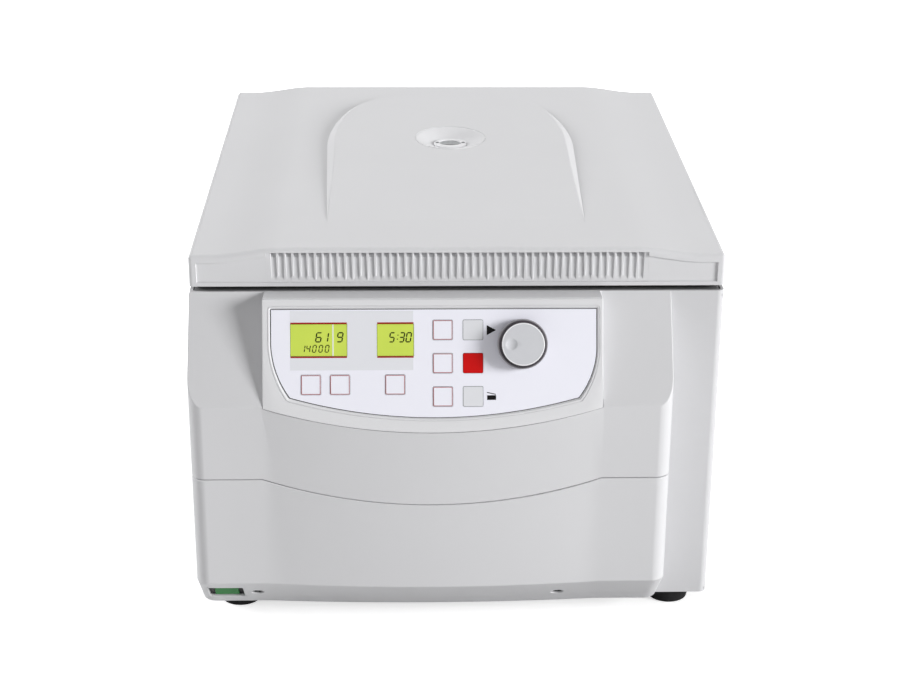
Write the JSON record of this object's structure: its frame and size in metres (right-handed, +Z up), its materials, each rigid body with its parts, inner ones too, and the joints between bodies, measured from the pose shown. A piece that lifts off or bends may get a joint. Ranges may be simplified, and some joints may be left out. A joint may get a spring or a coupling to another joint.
{
  "type": "benchtop centrifuge",
  "caption": "Benchtop laboratory centrifuge with a hinged wedge lid, viewing port, membrane control console, angle rotor in a steel chamber and rubber feet.",
  "frame": {"origin": "centre of the bounding box on the surface that the feet stand on", "axes": "+X to the user's right, +Y to the rear, +Z up; the console faces -Y"},
  "size_m": [0.43, 0.51, 0.36],
  "materials": {
    "cover_plastic": "fine matt moulded plastic, light grey",
    "housing_paint": "satin powder coat, light grey",
    "membrane_print": "printed polyester film, lavender white",
    "key_grey": "printed polyester film, light grey",
    "key_red": "printed polyester film, red",
    "display": "yellow green liquid crystal display",
    "knob_grey": "matt grey plastic",
    "knob_dark": "matt dark grey plastic",
    "switch_black": "matt black plastic",
    "switch_green": "translucent green plastic",
    "rubber_black": "matt black rubber",
    "steel_plate": "brushed stainless steel",
    "zinc_steel": "zinc plated steel",
    "rotor_alloy": "turned and anodised aluminium",
    "motor_paint": "black painted steel",
    "board_green": "epoxy circuit board",
    "window_glass": "clear window"
  },
  "bodies": {
    "base": {"base_plate": "zinc_steel", "feet": "rubber_black", "foot_screws": "zinc_steel", "housing": "housing_paint", "deck_plate": "steel_plate", "chamber_bowl": "steel_plate", "bowl_gasket": "rubber_black", "motor_posts": "zinc_steel", "vibration_mounts": "rubber_black", "motor_plate": "zinc_steel", "motor_housing": "motor_paint", "shaft_boot": "rubber_black", "front_cover_lower": "cover_plastic", "front_cover_upper": "cover_plastic", "console_bezel": "cover_plastic", "membrane": "membrane_print", "lcd_modules": "display", "display_board": "board_green", "encoder": "zinc_steel", "switch_body": "switch_black", "rear_panel": "housing_paint", "panel_screws": "zinc_steel", "power_inlet": "switch_black", "fan_frame": "switch_black", "inverter_board": "board_green", "hinge_brackets": "zinc_steel", "hinge_pins": "zinc_steel", "latch_brackets": "zinc_steel", "latch_motor": "motor_paint"},
    "lid": {"lid_shell": "cover_plastic", "lid_grille": "cover_plastic", "arch_panel": "cover_plastic", "port_collar": "cover_plastic", "port_ring": "cover_plastic", "port_window": "window_glass", "lid_inner_plate": "steel_plate", "lid_edge_seal": "rubber_black", "strikers": "zinc_steel", "lid_hinge_arms": "zinc_steel"},
    "rotor": {"drive_shaft": "zinc_steel", "rotor": "rotor_alloy", "rotor_nut": "rotor_alloy"},
    "latch": {"latch_shaft": "zinc_steel", "latch_hooks": "zinc_steel"},
    "knob": {"encoder_shaft": "zinc_steel", "knob_skirt": "knob_dark", "knob_cap": "knob_grey"},
    "power_rocker": {"power_rocker": "switch_green"},
    "fan_impeller": {"fan_impeller": "switch_black"},
    "release_pull_left": {"release_pull_left": "switch_black"},
    "release_pull_right": {"release_pull_right": "switch_black"},
    "key_mode": {"key_mode": "membrane_print"},
    "key_ramp": {"key_ramp": "membrane_print"},
    "key_time": {"key_time": "membrane_print"},
    "key_program": {"key_program": "membrane_print"},
    "key_store": {"key_store": "membrane_print"},
    "key_pulse": {"key_pulse": "membrane_print"},
    "key_start": {"key_start": "key_grey"},
    "key_stop": {"key_stop": "key_red"},
    "key_lid_open": {"key_lid_open": "key_grey"}
  },
  "joints": [
    {"name": "lid_hinge", "type": "hinge", "parent": "base", "child": "lid", "pos_m": [0, 0.2495, 0.282], "axis": [-1, 0, 0], "range_deg": [0, 75]},
    {"name": "rotor_spin", "type": "hinge", "parent": "base", "child": "rotor", "pos_m": [0, 0.066, 0.172], "axis": [0, 0, 1], "continuous": true},
    {"name": "latch_turn", "type": "hinge", "parent": "base", "child": "latch", "pos_m": [0, -0.158, 0.246], "axis": [1, 0, 0], "range_deg": [0, 16]},
    {"name": "knob_turn", "type": "hinge", "parent": "base", "child": "knob", "pos_m": [0.0504, -0.2332, 0.25412], "axis": [0, -0.9483, 0.3173], "continuous": true},
    {"name": "power_switch", "type": "hinge", "parent": "base", "child": "power_rocker", "pos_m": [-0.1925, -0.22163, 0.03704], "axis": [1, 0, 0], "range_deg": [0, 20]},
    {"name": "fan_spin", "type": "hinge", "parent": "base", "child": "fan_impeller", "pos_m": [0.07, 0.236, 0.13], "axis": [0, 1, 0], "continuous": true},
    {"name": "release_left", "type": "slide", "parent": "base", "child": "release_pull_left", "axis": [0, -0.6903, -0.7235], "range_m": [0, 0.012]},
    {"name": "release_right", "type": "slide", "parent": "base", "child": "release_pull_right", "axis": [0, -0.6903, -0.7235], "range_m": [0, 0.012]},
    {"name": "press_mode", "type": "slide", "parent": "base", "child": "key_mode", "axis": [0, 0.9483, -0.3173], "range_m": [0, 0.0005], "stiffness_N_per_m": 1200, "springref_m": -0.0005},
    {"name": "press_ramp", "type": "slide", "parent": "base", "child": "key_ramp", "axis": [0, 0.9483, -0.3173], "range_m": [0, 0.0005], "stiffness_N_per_m": 1200, "springref_m": -0.0005},
    {"name": "press_time", "type": "slide", "parent": "base", "child": "key_time", "axis": [0, 0.9483, -0.3173], "range_m": [0, 0.0005], "stiffness_N_per_m": 1200, "springref_m": -0.0005},
    {"name": "press_program", "type": "slide", "parent": "base", "child": "key_program", "axis": [0, 0.9483, -0.3173], "range_m": [0, 0.0005], "stiffness_N_per_m": 1200, "springref_m": -0.0005},
    {"name": "press_store", "type": "slide", "parent": "base", "child": "key_store", "axis": [0, 0.9483, -0.3173], "range_m": [0, 0.0005], "stiffness_N_per_m": 1200, "springref_m": -0.0005},
    {"name": "press_pulse", "type": "slide", "parent": "base", "child": "key_pulse", "axis": [0, 0.9483, -0.3173], "range_m": [0, 0.0005], "stiffness_N_per_m": 1200, "springref_m": -0.0005},
    {"name": "press_start", "type": "slide", "parent": "base", "child": "key_start", "axis": [0, 0.9483, -0.3173], "range_m": [0, 0.0005], "stiffness_N_per_m": 1200, "springref_m": -0.0005},
    {"name": "press_stop", "type": "slide", "parent": "base", "child": "key_stop", "axis": [0, 0.9483, -0.3173], "range_m": [0, 0.0005], "stiffness_N_per_m": 1200, "springref_m": -0.0005},
    {"name": "press_lid_open", "type": "slide", "parent": "base", "child": "key_lid_open", "axis": [0, 0.9483, -0.3173], "range_m": [0, 0.0005], "stiffness_N_per_m": 1200, "springref_m": -0.0005}
  ]
}
